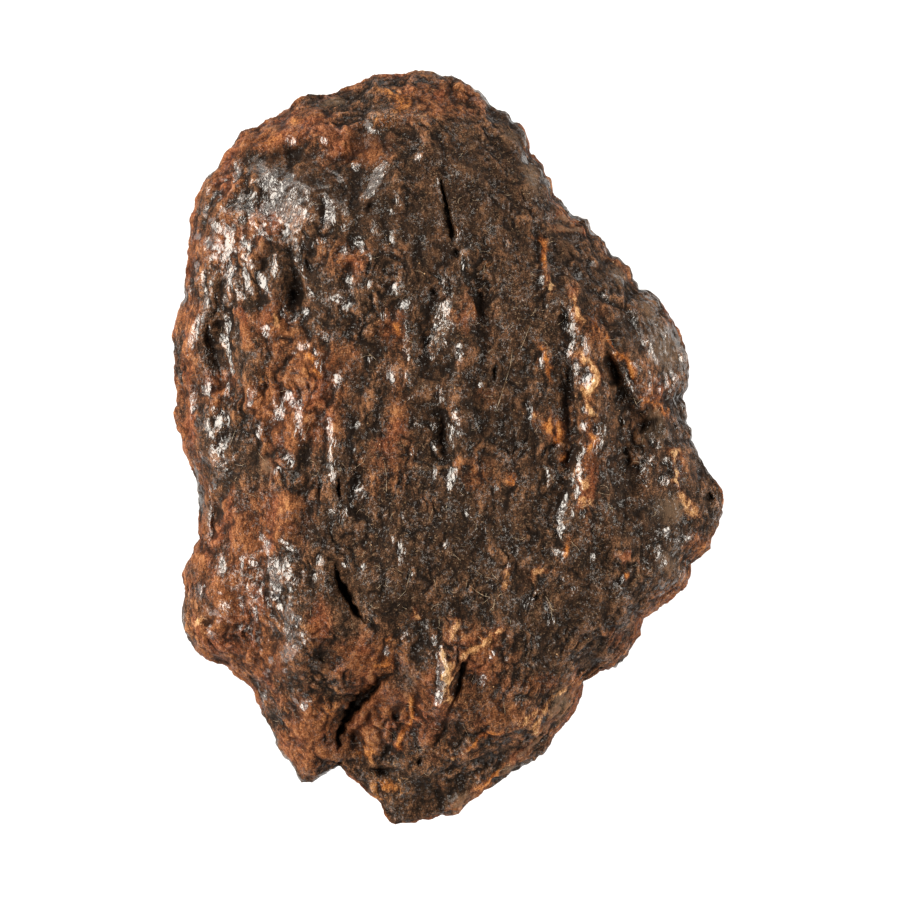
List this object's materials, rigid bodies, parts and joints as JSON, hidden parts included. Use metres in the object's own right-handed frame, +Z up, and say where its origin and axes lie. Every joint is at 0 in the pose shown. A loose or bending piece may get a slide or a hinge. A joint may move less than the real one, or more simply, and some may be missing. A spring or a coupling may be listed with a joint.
{
  "type": "iron meteorite",
  "caption": "Rough rust-brown iron meteorite with long ridges, pits and cracks, lying flat on its broad underside.",
  "frame": {"origin": "centre of the bounding box at the level that the stone rests on", "axes": "+Z up through the broad ridged face, +Y along the length towards the rounded end, +X towards the straight-edged right-hand side seen from above"},
  "size_m": [0.0554, 0.0752, 0.0255],
  "materials": {
    "crust": "weathered dark brown iron crust with rust-orange patches, half glossy on the ridges and dull in the pits"
  },
  "bodies": {
    "root": {"meteorite": "crust"}
  },
  "joints": []
}
